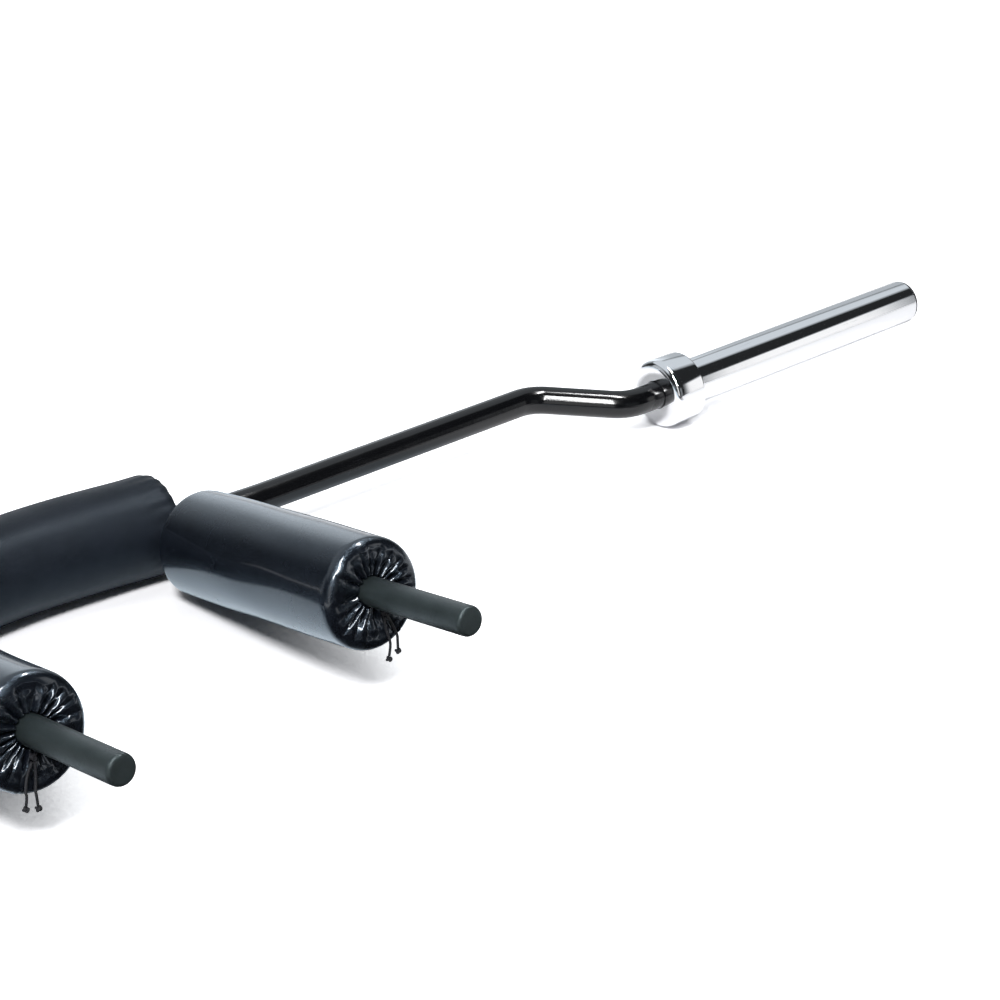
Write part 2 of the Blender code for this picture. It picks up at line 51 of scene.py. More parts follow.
COLLAR_INNER_X = 0.760348
COLLAR_RADIUS = 0.038
COLLAR_WIDTH = 0.041
COLLAR_LIP = 0.003
SLEEVE_RADIUS = 0.025
SLEEVE_BORE_RADIUS = 0.0175
SLEEVE_LENGTH = 0.3605
SPINDLE_RADIUS = 0.0125
SPINDLE_END = 0.3735
SHOULDER_DEPTH = 0.006
CAP_RADIUS = 0.0238
CAP_FLANGE = 0.003
FIT_GAP = 0.0003
CORD_GAP = 0.0005
ARM_X = 0.174
ARM_TILT = radians(11.5)
ARM_RADIUS = 0.0111
GRIP_RADIUS = 0.0137
GRIP_START = 0.3328
HANDLE_TIP = 0.4755
SHOULDER_PAD_RADIUS = 0.0523
SHOULDER_PAD_START = 0.0653
SHOULDER_PAD_END = 0.3385
SHOULDER_PAD_SAG = 0.0028
NECK_PAD_RADIUS = 0.0506
NECK_PAD_HALF_LENGTH = 0.160
PAD_RIM = 0.012
KNOT_DROP = 0.0205
KNOT_RADIUS = 0.004
TAIL_RADIUS = 0.00125
TAIL_KNOT_RADIUS = 0.0028
TAIL_SWING = radians(15)
TAIL_START_SPREAD = 0.0014
TAIL_SPREAD = 0.0045
TAIL_FLARE = 0.0009
TAIL_SAG = 0.0009
LONG_TAIL_HANG = 0.0155
SHORT_TAIL_HANG = 0.0145
TAIL_TURN_DOWN = 0.0058
TAIL_OFF_FACE = 0.0008

BEND_TILT = asin((SHAFT_HEIGHT - COLLAR_RADIUS) / CAMBER_OFFSET)
SIDES = (("left", -1), ("right", 1))
RIGHTWARDS = Vector((1, 0, 0))
ARM_AHEAD = Vector((0, -cos(ARM_TILT), sin(ARM_TILT)))
ARM_UP = Vector((0, sin(ARM_TILT), cos(ARM_TILT)))


# The camera, solved from the photograph

CAMERA_PLACE = (-1.0427, -1.7076, 1.2146)
CAMERA_TILT = radians(62.98)
CAMERA_TURN = radians(-40.98)
CAMERA_SHIFT = -0.0034
LENS_MM = 93.05
SENSOR_MM = 36


def set_camera():
    data = bpy.data.cameras.new("photo_camera")
    data.sensor_width = SENSOR_MM
    data.lens = LENS_MM
    data.shift_x = CAMERA_SHIFT
    camera = bpy.data.objects.new("photo_camera", data)
    camera.location = CAMERA_PLACE
    camera.rotation_euler = (CAMERA_TILT, 0, CAMERA_TURN)
    bpy.context.scene.collection.objects.link(camera)
    bpy.context.scene.camera = camera


# Nodes that make the finishes

def add(tree, kind, settings=None, **inputs):
    """Adds a node. An input given as a socket is linked, another is set. n0 is input number 0."""
    node = tree.nodes.new("ShaderNode" + kind)
    for name, value in (settings or {}).items():
        setattr(node, name, value)
    for name, value in inputs.items():
        by_number = name[0] == "n" and name[1:].isdigit()
        socket = node.inputs[int(name[1:]) if by_number else name.replace("_", " ")]
        if isinstance(value, bpy.types.NodeSocket):
            tree.links.new(value, socket)
        else:
            socket.default_value = value
    return node


def new_group(name, inputs, outputs):
    """A node group with named number inputs and named outputs."""
    group = bpy.data.node_groups.new(name, "ShaderNodeTree")
    for title, value in inputs:
        socket = group.interface.new_socket(title, in_out="INPUT", socket_type="NodeSocketFloat")
        socket.default_value = value
    for title, kind in outputs:
        group.interface.new_socket(title, in_out="OUTPUT", socket_type=kind)
    return group, group.nodes.new("NodeGroupInput"), group.nodes.new("NodeGroupOutput")


def math(tree, operation, a, b=0.0):
    return add(tree, "Math", {"operation": operation}, n0=a, n1=b).outputs[0]


def times(tree, a, b):
    return math(tree, "MULTIPLY", a, b)


def plus(tree, a, b):
    return math(tree, "ADD", a, b)


def greater(tree, a, b):
    return math(tree, "MAXIMUM", a, b)


def spread(tree, value, low, high, to_low=0.0, to_high=1.0, interpolation="LINEAR"):
    """Maps a value from one range to another, and clamps it."""
    node = add(
        tree, "MapRange", {"interpolation_type": interpolation},
        Value=value, From_Min=low, From_Max=high, To_Min=to_low, To_Max=to_high,
    )
    return node.outputs["Result"]


def smooth_step(tree, value, low, high, to_low=0.0, to_high=1.0):
    """Like spread, but it eases in and out."""
    return spread(tree, value, low, high, to_low, to_high, "SMOOTHSTEP")


def mixed(tree, mask, first, second):
    """A colour between two, by a mask from 0 to 1."""
    mix = add(tree, "Mix", {"data_type": "RGBA"}, Factor=mask)
    for number, colour in ((6, first), (7, second)):
        if isinstance(colour, bpy.types.NodeSocket):
            tree.links.new(colour, mix.inputs[number])
        else:
            mix.inputs[number].default_value = (*colour, 1)
    return mix.outputs[2]


def make_grain_group():
    """Grain of vinyl or moulded rubber: pebbles with creases between, and slow changes of tone."""
    group, given, result = new_group(
        "embossed_grain",
        [("Pebbles per metre", 900.0), ("Crease width", 0.12), ("Waviness", 0.3)],
        [("Height", "NodeSocketFloat"), ("Tone", "NodeSocketFloat")],
    )
    place = add(group, "TexCoord").outputs["Object"]
    wander = add(group, "TexNoise", None, Vector=place, Scale=240.0, Detail=3.0)
    bent = add(
        group, "VectorMath", {"operation": "MULTIPLY_ADD"},
        n0=wander.outputs["Color"], n1=(0.0012, 0.0012, 0.0012), n2=place,
    )
    pebbles = add(
        group, "TexVoronoi", {"feature": "DISTANCE_TO_EDGE"},
        Vector=bent.outputs[0], Scale=given.outputs["Pebbles per metre"],
    )
    raised = smooth_step(group, pebbles.outputs["Distance"], 0.0, given.outputs["Crease width"])
    slow = add(group, "TexNoise", None, Vector=place, Scale=38.0, Detail=5.0, Roughness=0.6)
    waves = times(group, slow.outputs["Fac"], given.outputs["Waviness"])
    height = plus(group, raised, waves)
    group.links.new(height, result.inputs["Height"])
    group.links.new(slow.outputs["Fac"], result.inputs["Tone"])
    return group


def make_marks_group():
    """Smudges and fine dust on a handled surface, and thin scratches along the bar."""
    group, given, result = new_group(
        "handling_marks",
        [("Smudge size", 30.0), ("Scratches", 0.5)],
        [
            ("Smudges", "NodeSocketFloat"),
            ("Scratches", "NodeSocketFloat"),
            ("Dust", "NodeSocketFloat"),
        ],
    )
    place = add(group, "TexCoord").outputs["Object"]
    smudge = add(
        group, "TexNoise", None,
        Vector=place, Scale=given.outputs["Smudge size"],
        Detail=6.0, Roughness=0.62, Distortion=0.6,
    )
    smudges = spread(group, smudge.outputs["Fac"], 0.30, 0.78)
    drawn_out = add(group, "Mapping", None, Vector=place, Scale=(14.0, 900.0, 900.0))
    lines = add(group, "TexNoise", None, Vector=drawn_out.outputs[0], Scale=1.0, Detail=2.0)
    thin = spread(group, lines.outputs["Fac"], 0.66, 0.74)
    patch = spread(group, smudge.outputs["Fac"], 0.48, 0.6)
    scratched = times(group, times(group, thin, patch), given.outputs["Scratches"])
    specks = add(group, "TexNoise", None, Vector=place, Scale=2200.0, Detail=1.0)
    dust = spread(group, specks.outputs["Fac"], 0.70, 0.78)
    group.links.new(smudges, result.inputs["Smudges"])
    group.links.new(scratched, result.inputs["Scratches"])
    group.links.new(dust, result.inputs["Dust"])
    return group


def make_turning_group():
    """Fine rings that a lathe or a polishing belt leaves round the bar's axis."""
    group, given, result = new_group(
        "turning_rings",
        [("Rings per metre", 1600.0), ("Depth", 0.3)],
        [("Height", "NodeSocketFloat")],
    )
    place = add(group, "TexCoord").outputs["Object"]
    split = add(group, "SeparateXYZ", None, Vector=place)
    along = times(group, split.outputs["X"], given.outputs["Rings per metre"])
    rings = add(group, "TexNoise", {"noise_dimensions": "1D"}, W=along, Scale=1.0, Detail=3.0)
    height = times(group, rings.outputs["Fac"], given.outputs["Depth"])
    group.links.new(height, result.inputs["Height"])
    return group


GRAIN = make_grain_group()
MARKS = make_marks_group()
TURNING = make_turning_group()


def finish(name, roughness, metallic=0.0):
    made = bpy.data.materials.new(name)
    made.use_nodes = True
    tree = made.node_tree
    shader = tree.nodes["Principled BSDF"]
    shader.inputs["Roughness"].default_value = roughness
    shader.inputs["Metallic"].default_value = metallic
    return made, tree, shader


def use_group(tree, group, **values):
    node = add(tree, "Group", {"node_tree": group})
    for name, value in values.items():
        node.inputs[name.replace("_", " ")].default_value = value
    return node


def two_tones(tree, shader, mask, dark, light):
    """Base colour between two tones, by a mask from 0 to 1."""
    tree.links.new(mixed(tree, mask, dark, light), shader.inputs["Base Color"])


def vary_roughness(tree, shader, marks, low, high):
    rough = spread(tree, marks.outputs["Smudges"], 0.0, 1.0, low, high)
    tree.links.new(rough, shader.inputs["Roughness"])


def emboss(tree, shader, height, depth, strength):
    bump = add(tree, "Bump", None, Height=height, Distance=depth, Strength=strength)
    tree.links.new(bump.outputs["Normal"], shader.inputs["Normal"])


def vinyl(name, dark, light, roughness, pebbles, depth, waviness, specular, coat):
    """A finish of embossed vinyl. The coat is the gloss of its top layer."""
    made, tree, shader = finish(name, roughness)
    shader.inputs["Specular IOR Level"].default_value = specular
    shader.inputs["Specular Tint"].default_value = (0.72, 0.86, 1.0, 1)
    shader.inputs["Coat Weight"].default_value = coat
    shader.inputs["Coat Roughness"].default_value = 0.11
    shader.inputs["Coat Tint"].default_value = (0.86, 0.93, 1.0, 1)
    grain = use_group(tree, GRAIN, Pebbles_per_metre=pebbles, Waviness=waviness)
    marks = use_group(tree, MARKS, Smudge_size=22.0)
    two_tones(tree, shader, spread(tree, grain.outputs["Tone"], 0.35, 0.65), dark, light)
    vary_roughness(tree, shader, marks, roughness - 0.04, roughness + 0.04)
    emboss(tree, shader, grain.outputs["Height"], depth, 0.5)
    return made


def make_finishes():
    made = {}
    made["neck_vinyl"] = vinyl(
        "matte_vinyl", (0.0036, 0.0052, 0.0095), (0.0058, 0.0078, 0.0135),
        roughness=0.44, pebbles=780.0, depth=0.00020, waviness=0.3, specular=0.28, coat=0.0,
    )
    made["shoulder_vinyl"] = vinyl(
        "satin_vinyl", (0.0026, 0.0031, 0.0048), (0.0048, 0.0058, 0.0086),
        roughness=0.27, pebbles=950.0, depth=0.00005, waviness=0.05, specular=0.60, coat=1.0,
    )

    paint, tree, shader = finish("gloss_black_paint", 0.14)
    marks = use_group(tree, MARKS, Smudge_size=16.0, Scratches=0.8)
    tones = plus(tree, marks.outputs["Scratches"], times(tree, marks.outputs["Dust"], 0.35))
    two_tones(tree, shader, tones, (0.0045, 0.0048, 0.0058), (0.03, 0.032, 0.036))
    vary_roughness(tree, shader, marks, 0.10, 0.19)
    place = add(tree, "TexCoord").outputs["Object"]
    peel = add(tree, "TexNoise", None, Vector=place, Scale=320.0, Detail=2.0)
    emboss(tree, shader, peel.outputs["Fac"], 0.00006, 0.4)
    made["black_paint"] = paint

    chrome, tree, shader = finish("polished_chrome", 0.07, 1.0)
    marks = use_group(tree, MARKS, Smudge_size=28.0, Scratches=0.9)
    rings = use_group(tree, TURNING, Rings_per_metre=2600.0, Depth=0.35)
    two_tones(tree, shader, marks.outputs["Scratches"], (0.93, 0.935, 0.95), (0.60, 0.61, 0.64))
    vary_roughness(tree, shader, marks, 0.045, 0.13)
    emboss(tree, shader, rings.outputs["Height"], 0.00004, 0.25)
    made["chrome"] = chrome

    steel, tree, shader = finish("zinc_plated_steel", 0.34, 1.0)
    marks = use_group(tree, MARKS, Smudge_size=60.0)
    two_tones(tree, shader, marks.outputs["Smudges"], (0.44, 0.44, 0.43), (0.56, 0.57, 0.58))
    rings = use_group(tree, TURNING, Rings_per_metre=1800.0)
    emboss(tree, shader, rings.outputs["Height"], 0.00006, 0.4)
    made["plain_steel"] = steel

    bronze, tree, shader = finish("oiled_bronze", 0.36, 1.0)
    marks = use_group(tree, MARKS, Smudge_size=70.0)
    two_tones(tree, shader, marks.outputs["Smudges"], (0.42, 0.27, 0.12), (0.60, 0.42, 0.22))
    rings = use_group(tree, TURNING, Rings_per_metre=1400.0)
    emboss(tree, shader, rings.outputs["Height"], 0.00008, 0.5)
    made["bearing_bronze"] = bronze

    plastic, tree, shader = finish("moulded_plastic", 0.42)
    grain = use_group(tree, GRAIN, Pebbles_per_metre=2600.0, Waviness=0.1)
    tones = spread(tree, grain.outputs["Tone"], 0.3, 0.7)
    two_tones(tree, shader, tones, (0.010, 0.010, 0.011), (0.018, 0.018, 0.020))
    emboss(tree, shader, grain.outputs["Height"], 0.00005, 0.4)
    made["black_plastic"] = plastic

    rubber, tree, shader = finish("grip_rubber", 0.40)
    shader.inputs["Specular IOR Level"].default_value = 0.7
    shader.inputs["Specular Tint"].default_value = (0.80, 0.95, 1.0, 1)
    grain = use_group(tree, GRAIN, Pebbles_per_metre=2100.0, Crease_width=0.2, Waviness=0.4)
    marks = use_group(tree, MARKS, Smudge_size=45.0)
    tones = plus(tree, spread(tree, grain.outputs["Tone"], 0.3, 0.7), marks.outputs["Dust"])
    two_tones(tree, shader, tones, (0.013, 0.0175, 0.018), (0.022, 0.029, 0.030))
    vary_roughness(tree, shader, marks, 0.27, 0.36)
    emboss(tree, shader, grain.outputs["Height"], 0.00010, 0.45)
    made["grip_rubber"] = rubber

    foam, tree, shader = finish("open_foam", 0.95)
    grain = use_group(tree, GRAIN, Pebbles_per_metre=1500.0, Crease_width=0.3)
    # The foam is painted darker in the creases between its cells, where its bump sinks: painted
    # shade.
    two_tones(tree, shader, grain.outputs["Height"], (0.02, 0.02, 0.022), (0.09, 0.09, 0.10))
    emboss(tree, shader, grain.outputs["Height"], 0.0006, 0.8)
    made["foam"] = foam

    cord, tree, shader = finish("braided_cord", 0.7)
    place = add(tree, "TexCoord").outputs["Object"]
    strands = add(
        tree, "TexWave", {"wave_type": "BANDS", "bands_direction": "DIAGONAL"},
        Vector=place, Scale=420.0, Distortion=2.0, Detail=1.0,
    )
    # The cord is painted lighter on its strands and darker in the grooves between them, where its
    # bump sinks: painted shade in the grooves.
    two_tones(tree, shader, strands.outputs["Fac"], (0.006, 0.006, 0.008), (0.028, 0.029, 0.034))
    emboss(tree, shader, strands.outputs["Fac"], 0.0003, 0.7)
    made["cord"] = cord
    return made


FINISHES = make_finishes()


# Making meshes from rings of points

TURNED_SIDES = 96
SHAFT_SIDES = 48
GRIP_SIDES = 64
# The radius of a ring that closes an end on its axis
AXIS_RADIUS = 0.0001


def skin(name, rings, slot, body, replaced=(), closed=False, sharp=32):
    """Joins rings of points into a piece. A run that isn't closed is capped at both ends."""
    points = np.asarray(rings, float)
    rows, columns, _ = points.shape
    index = np.arange(rows * columns).reshape(rows, columns)
    near = index if closed else index[:-1]
    far = np.roll(index, -1, axis=0) if closed else index[1:]
    faces = ring_faces(near, far)
    if not closed:
        faces += [index[0][::-1].tolist(), index[-1].tolist()]
    mesh = bpy.data.meshes.new(name)
    mesh.from_pydata(points.reshape(-1, 3).tolist(), [], faces)
    turn_outwards(mesh)
    mesh.shade_smooth()
    mesh.set_sharp_from_angle(angle=radians(sharp))
    mesh.materials.append(FINISHES[slot])
    return put(name, mesh, slot, body, replaced)


def turn_outwards(mesh):
    """Makes every face look outwards."""
    shape = bmesh.new()
    shape.from_mesh(mesh)
    bmesh.ops.recalc_face_normals(shape, faces=shape.faces)
    shape.to_mesh(mesh)
    shape.free()


def put(name, data, slot, body, replaced=()):
    piece = bpy.data.objects.new(name, data)
    bpy.context.scene.collection.objects.link(piece)
    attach(piece, body)
    if replaced:
        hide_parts(*replaced)
    return piece


def full_turn(sides):
    return np.arange(sides) * (2 * pi / sides)


def spokes_at(turns, across, up):
    return np.outer(np.cos(turns), across) + np.outer(np.sin(turns), up)


def circle(centre, across, up, radius, sides):
    return np.array(centre) + radius * spokes_at(full_turn(sides), across, up)


def ring_faces(near, far):
    """Faces between rows of point numbers, each row being a ring."""
    faces = np.stack([near, np.roll(near, -1, axis=1), np.roll(far, -1, axis=1), far], axis=-1)
    return faces.reshape(-1, 4).tolist()


def rounded(corners, steps=5):
    """An outline whose corners (x, radius, rounding) are rounded."""
    outline = []
    count = len(corners)
    for i, (x, r, rounding) in enumerate(corners):
        here = np.array((x, r))
        if not rounding or i in (0, count - 1):
            outline.append(here)
            continue
        before = np.array(corners[i - 1][:2]) - here
        after = np.array(corners[i + 1][:2]) - here
        start = here + before / np.linalg.norm(before) * rounding
        end = here + after / np.linalg.norm(after) * rounding
        for step in range(steps + 1):
            t = step / steps
            outline.append((1 - t) ** 2 * start + 2 * t * (1 - t) * here + t * t * end)
    return outline


def turned(name, corners, origin, way, slot, body, replaced, closed=True):
    """A piece turned about the X axis through origin, outwards being way."""
    rings = [
        circle(np.array(origin) + np.array((way * x, 0, 0)), (0, 1, 0), (0, 0, 1), r, TURNED_SIDES)
        for x, r in rounded(corners)
    ]
    return skin(name, rings, slot, body, replaced, closed)


# Shaft

def bow(x):
    """How far the shaft stands back from its straight line at x, within the plane of its bends."""
    if abs(x) > NECK_BOW_REACH:
        return 0.0
    return NECK_BOW * cos(pi * x / (2 * NECK_BOW_REACH)) ** 2


def on_bar(x, forward):
    """A point of the plane of the shaft's bends."""
    y = BAR_LINE_Y - forward * cos(BEND_TILT)
    return Vector((x, y, SHAFT_HEIGHT - forward * sin(BEND_TILT)))


def bend_points(corner, before, after, steps=18):
    turn = before.angle(after)
    centre_side = (after - before).normalized()
    centre = corner + centre_side * (CAMBER_BEND_RADIUS / cos(turn / 2))
    along = (before + after).normalized()
    swing = [turn * (i / steps - 0.5) for i in range(steps + 1)]
    return [centre + CAMBER_BEND_RADIUS * (sin(a) * along - cos(a) * centre_side) for a in swing]


def half_shaft_line():
    """Centre line of the right half of the shaft, from the middle to the spindle's shoulder."""
    points = [on_bar(NECK_BOW_REACH * i / 40, -bow(NECK_BOW_REACH * i / 40)) for i in range(41)]
    first = on_bar(CAMBER_START, 0.0)
    second = on_bar(CAMBER_START + CAMBER_RUN, CAMBER_OFFSET)
    slant = (second - first).normalized()
    points += bend_points(first, RIGHTWARDS, slant)
    points += bend_points(second, slant, RIGHTWARDS)
    points.append(on_bar(COLLAR_INNER_X + SHOULDER_DEPTH, CAMBER_OFFSET))
    return points


def make_shaft():
    half = half_shaft_line()
    line = [Vector((-p.x, p.y, p.z)) for p in reversed(half[1:])] + half
    normal = Vector((0, -sin(BEND_TILT), cos(BEND_TILT)))
    rings = []
    for i, point in enumerate(line):
        along = (line[min(i + 1, len(line) - 1)] - line[max(i - 1, 0)]).normalized()
        rings.append(circle(point, normal.cross(along), normal, SHAFT_RADIUS, SHAFT_SIDES))
    across = Vector((0, cos(BEND_TILT), sin(BEND_TILT)))
    shoulder = COLLAR_INNER_X + SHOULDER_DEPTH
    steps = [(shoulder, SPINDLE_RADIUS), (COLLAR_INNER_X + SPINDLE_END, SPINDLE_RADIUS)]
    right = [circle(on_bar(x, CAMBER_OFFSET), across, normal, r, SHAFT_SIDES) for x, r in steps]
    left = [
        circle(on_bar(-x, CAMBER_OFFSET), across, normal, r, SHAFT_SIDES)
        for x, r in reversed(steps)
    ]
    skin("bent_shaft", left + rings + right, "black_paint", "bar", ["shaft"])


# Sleeves

EDGE_ROUNDING = 0.0006
COLLAR_INNER_ROUNDING = 0.0090
COLLAR_OUTER_ROUNDING = 0.0034
CAP_PLUG = 0.010
CAP_DISH_RADIUS = 0.0185
CAP_DISH = 0.0012


def make_sleeves():
    axis = on_bar(COLLAR_INNER_X, CAMBER_OFFSET)
    tube_end = COLLAR_WIDTH + SLEEVE_LENGTH
    for side, way in SIDES:
        origin = (way * axis.x, axis.y, axis.z)
        body = f"{side}_sleeve"
        lip_bore = SHAFT_RADIUS + 2 * FIT_GAP
        seat = SLEEVE_RADIUS + FIT_GAP
        collar = [
            (COLLAR_LIP, lip_bore, 0),
            (0, lip_bore, EDGE_ROUNDING),
            (0, COLLAR_RADIUS, COLLAR_INNER_ROUNDING),
            (COLLAR_WIDTH, COLLAR_RADIUS, COLLAR_OUTER_ROUNDING),
            (COLLAR_WIDTH, seat, EDGE_ROUNDING),
            (COLLAR_LIP, seat, 0),
        ]
        turned(f"{side}_chrome_collar", collar, origin, way, "chrome", body, [f"{side}_collar"])
        tube = [
            (COLLAR_LIP + FIT_GAP, SLEEVE_BORE_RADIUS, 0),
            (COLLAR_LIP + FIT_GAP, SLEEVE_RADIUS, 0.0005),
            (tube_end, SLEEVE_RADIUS, 0.0018),
            (tube_end, SLEEVE_BORE_RADIUS, 0),
        ]
        turned(f"{side}_chrome_sleeve", tube, origin, way, "chrome", body, [f"{side}_sleeve_tube"])
        cap_back = tube_end + FIT_GAP
        cap_front = cap_back + CAP_FLANGE
        plug = SLEEVE_BORE_RADIUS - FIT_GAP
        cap = [
            (tube_end - CAP_PLUG, AXIS_RADIUS, 0),
            (tube_end - CAP_PLUG, plug, 0.0012),
            (cap_back, plug, 0),
            (cap_back, CAP_RADIUS, EDGE_ROUNDING),
            (cap_front, CAP_RADIUS, 0.0016),
            (cap_front, CAP_DISH_RADIUS, 0.0005),
            (cap_front - CAP_DISH, CAP_DISH_RADIUS - 0.0010, 0.0005),
            (cap_front - CAP_DISH, AXIS_RADIUS, 0),
        ]
        turned(
            f"{side}_moulded_cap", cap, origin, way, "black_plastic", body, [f"{side}_end_cap"],
            closed=False,
        )


# Grips

def arm_root(way):
    return on_bar(way * ARM_X, -bow(ARM_X))


def on_arm(way, along, across, up):
    """A point by an arm: along it, to the right of it and above it."""
    return arm_root(way) + ARM_AHEAD * along + RIGHTWARDS * across + ARM_UP * up


GRIP_END_WALL = 0.004
GRIP_START_ROUNDING = 0.0008
GRIP_TIP_ROUNDING = 0.0046


def make_grips():
    bore = ARM_RADIUS + FIT_GAP
    bore_end = HANDLE_TIP - GRIP_END_WALL
    corners = [
        (bore_end, AXIS_RADIUS, 0),
        (bore_end, bore, 0),
        (GRIP_START, bore, 0),
        (GRIP_START, GRIP_RADIUS, GRIP_START_ROUNDING),
        (HANDLE_TIP, GRIP_RADIUS, GRIP_TIP_ROUNDING),
        (HANDLE_TIP, AXIS_RADIUS, 0),
    ]
    for side, way in SIDES:
        rings = [
            circle(on_arm(way, along, 0, 0), RIGHTWARDS, ARM_UP, r, GRIP_SIDES)
            for along, r in rounded(corners, 8)
        ]
        skin(f"{side}_rubber_grip", rings, "grip_rubber", "bar", [f"{side}_grip"])


# Pads

SHOULDER_COLUMNS = 384
NECK_COLUMNS = 320
SHOULDER_BODY_ROWS = 66
NECK_BODY_ROWS = 76
COLUMN_STEP = 4
ROW_STEP = 0.0042
FRONT_DEPTHS = ((0, 0.4, 1, 1.4, 1.8, 2.1, 3), (0, 0.0003, 0.0018, 0.0046, 0.0060, 0.0040, 0.0012))
REAR_DEPTHS = ((0, 0.5, 1, 1.4, 1.8, 2.1, 3), (0, 0.0004, 0.0014, 0.0026, 0.0034, 0.0026, 0.0010))
SHOULDER_RIM = 0.0125
NECK_RIM = 0.009
HEM_CLEARANCE = 0.0012
SWELL = 0.0022
SWELL_LIMIT = 0.0045
PRESSURE = 4.0
SETTLING_FRAMES = 20
SEAM_HEIGHT = 0.0009
ABOVE_FLOOR = 0.0003


def fold_field(turns, face, depths, count, seed):
    """Heights of a gathered end's radial folds. face is each row's place on the end."""
    chance = np.random.default_rng(seed)
    warped = turns.copy()
    for k in range(1, 5):
        warped = warped + 0.16 / k * np.sin(k * turns + chance.uniform(0, 2 * pi))
    place = (warped / (2 * pi) * count) % count
    which = np.floor(place).astype(int) % count
    within = place - np.floor(place)
    height = chance.uniform(0.55, 1.15, count)[which]
    lean = chance.uniform(-0.35, 0.5, count)[which]
    begins = chance.uniform(0.1, 0.9, count)[which]
    ridge = np.sin(pi * within ** (1 + lean)) ** 0.72
    depth = np.interp(face, depths[0], depths[1])
    ramp = np.clip((face[:, None] - begins[None, :]) / 0.55, 0, 1)
    ramp = ramp * ramp * (3 - 2 * ramp)
    return depth[:, None] * (height * ridge * ramp - 0.5)


def lumps(rows, turns, size, seed):
    """Slow unevenness of a stuffed roll."""
    chance = np.random.default_rng(seed)
    field = np.zeros((len(rows), len(turns)))
    for _ in range(14):
        around = chance.integers(1, 6)
        along = chance.uniform(-60, 60)
        phase = chance.uniform(0, 2 * pi)
        field += np.sin(around * turns[None, :] + along * rows[:, None] + phase)
    return field * size / 14 ** 0.5


def end_stations(radius, rim, mouth, funnel):
    """Rows of (inset from the end, radius, place on the end), from the rim to inside the mouth."""
    stations = []
    for i in range(12):
        t = i / 12
        stations.append((rim * (1 - sin(t * pi / 2)), radius - rim * (1 - cos(t * pi / 2)), t))
    count = 26
    for i in range(count + 1):
        t = i / count
        r = (radius - rim) * (1 - t) + mouth * t
        crown = -0.0022 * sin(pi * min(1, t * 1.5)) ** 2
        dip = funnel * max(0.0, (t - 0.55) / 0.45) ** 2
        stations.append((crown + dip, r, 1 + t))
    for i in range(1, 5):
        t = i / 4
        stations.append((funnel + 0.006 * t, mouth, 2 + t))
    return stations


def seam(turns, where, radius):
    """The lap of a lengthwise seam: a low step up, with a sewn line pressed in behind it."""
    aside = (turns - where + pi) % (2 * pi) - pi
    distance = aside * radius
    step = 1 / (1 + np.exp(-distance / 0.0005)) * np.exp(-np.clip(distance, 0, None) / 0.006)
    stitched = np.exp(-((distance - 0.0038) / 0.0009) ** 2)
    return SEAM_HEIGHT * (step - 0.7 * stitched)


def pad_shape(name, stations, lifts, position, seams):
    """A pad's skin before it settles, plain and with its folds. lifts gives the heights of both."""
    along, r, face = (np.array(column) for column in zip(*stations))
    slope_a, slope_r = np.gradient(along), np.gradient(r)
    length = np.hypot(slope_a, slope_r)
    out_a, out_r = -slope_r / length, slope_a / length
    slow, folds = lifts(along, face)
    on_body = np.clip(1 - abs(face), 0, 1)[:, None]
    folds = folds + seams[None, :] * on_body
    shapes = []
    for lift in (slow, slow + folds):
        lift = lift - SWELL * np.clip(2 - abs(face), 0, 1)[:, None]
        grid_r = r[:, None] + out_r[:, None] * lift
        shapes.append(position(along, face, out_a[:, None] * lift, grid_r))
    held = np.clip((abs(face) - 1.25) / 0.5, 0, 1)
    return {"name": name, "plain": shapes[0], "folded": shapes[1], "held": held}


def shoulder_shape(side, way, seed):
    start, end, radius = SHOULDER_PAD_START, SHOULDER_PAD_END, SHOULDER_PAD_RADIUS
    front = end_stations(radius, SHOULDER_RIM, GRIP_RADIUS + HEM_CLEARANCE, 0.001)
    rear = end_stations(radius, SHOULDER_RIM, ARM_RADIUS + HEM_CLEARANCE, 0.004)
    rows = [(start + inset, r, -face) for inset, r, face in reversed(rear)]
    body_start, body_end = start + SHOULDER_RIM, end - SHOULDER_RIM
    for i in range(1, SHOULDER_BODY_ROWS):
        rows.append((body_start + (body_end - body_start) * i / SHOULDER_BODY_ROWS, radius, 0.0))
    rows += [(end - inset, r, face) for inset, r, face in front]
    turns = full_turn(SHOULDER_COLUMNS)
    root = np.array(arm_root(way))
    ahead, across, up = (np.array(v) for v in (ARM_AHEAD, RIGHTWARDS, ARM_UP))
    spokes = spokes_at(turns, across, up)

    def lifts(along, face):
        slow = lumps(along, turns, 0.00035, seed) * np.clip(1.6 - abs(face), 0, 1)[:, None]
        slow += 0.0006 * np.sin(pi * np.clip((along - start) / (end - start), 0, 1))[:, None]
        folds = fold_field(turns, face, FRONT_DEPTHS, 19, seed + 1)
        folds += fold_field(turns, -face, REAR_DEPTHS, 27, seed + 2)
        return slow, folds

    def position(along, face, shift, grid_r):
        in_throat = np.where(face > 1.7, GRIP_RADIUS + 0.0005, ARM_RADIUS + 0.0004)
        grid_r = np.maximum(grid_r, in_throat[:, None])
        grid_a = along[:, None] + shift
        sag = SHOULDER_PAD_SAG * np.clip(2 - abs(face), 0, 1)
        round_arm = root + grid_a[..., None] * ahead + grid_r[..., None] * spokes
        return round_arm - sag[:, None, None] * up

    seam_turn = radians(-62) if way > 0 else radians(-118)
    pad = pad_shape(f"{side}_shoulder_roll", rows, lifts, position, seam(turns, seam_turn, radius))
    bore = ARM_RADIUS + FIT_GAP
    pad["bore"] = [root + a * ahead + bore * spokes for a in (end - 0.016, start + 0.014)]
    pad["slot"] = "shoulder_vinyl"
    replaced = [f"{side}_shoulder_{part}" for part in ("cover", "foam", "elastic")]
    pad["replaced"] = replaced + [f"{side}_drawcord"]
    pad["fill"] = 0.95
    return pad


